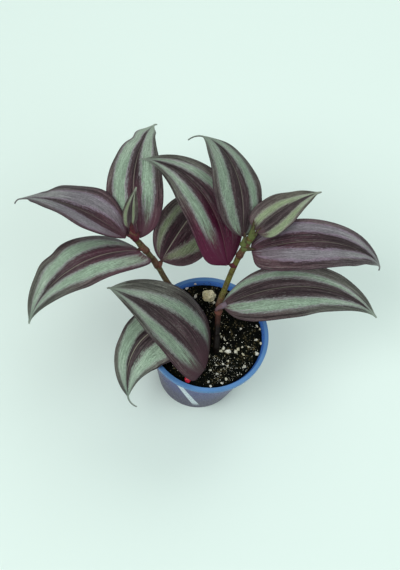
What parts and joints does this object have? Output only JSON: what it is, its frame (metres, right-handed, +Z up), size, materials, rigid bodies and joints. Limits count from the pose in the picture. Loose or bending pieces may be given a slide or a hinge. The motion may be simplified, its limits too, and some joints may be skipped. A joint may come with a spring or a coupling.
{
  "type": "potted tradescantia",
  "caption": "Young trailing house plant with striped pointed leaves on two leaning stems, rooted in soil in a small tapered plastic nursery pot with a flat rim.",
  "frame": {"origin": "middle of the pot's flat base, on the surface that the pot stands on", "axes": "+Z up, -Y towards the plant's front, +X to its right"},
  "size_m": [0.1688, 0.1211, 0.0965],
  "materials": {
    "pot_plastic": "smooth glossy blue plastic, purple-blue lower down",
    "soil": "near-black damp potting mix with pale perlite grains",
    "stem": "fleshy olive to yellow-green with brown-red papery sheaths",
    "leaf": "satin, dark purple-grey with two silver-green stripes, purple edge and purple underside",
    "perlite": "matt cream porous grain",
    "bead": "satin dark red bead"
  },
  "bodies": {
    "root": {"pot": "pot_plastic", "soil": "soil", "stem_left": "stem", "stem_right": "stem", "leaf_left_front": "leaf", "leaf_left_outer": "leaf", "leaf_left_top": "leaf", "leaf_left_young": "leaf", "leaf_middle_back": "leaf", "leaf_middle_top": "leaf", "leaf_right_top": "leaf", "leaf_right_young": "leaf", "leaf_right_upper": "leaf", "leaf_right_lower": "leaf", "leaf_front_upper": "leaf", "leaf_front_hanging": "leaf", "perlite_lump": "perlite", "food_bead": "bead"}
  },
  "joints": []
}
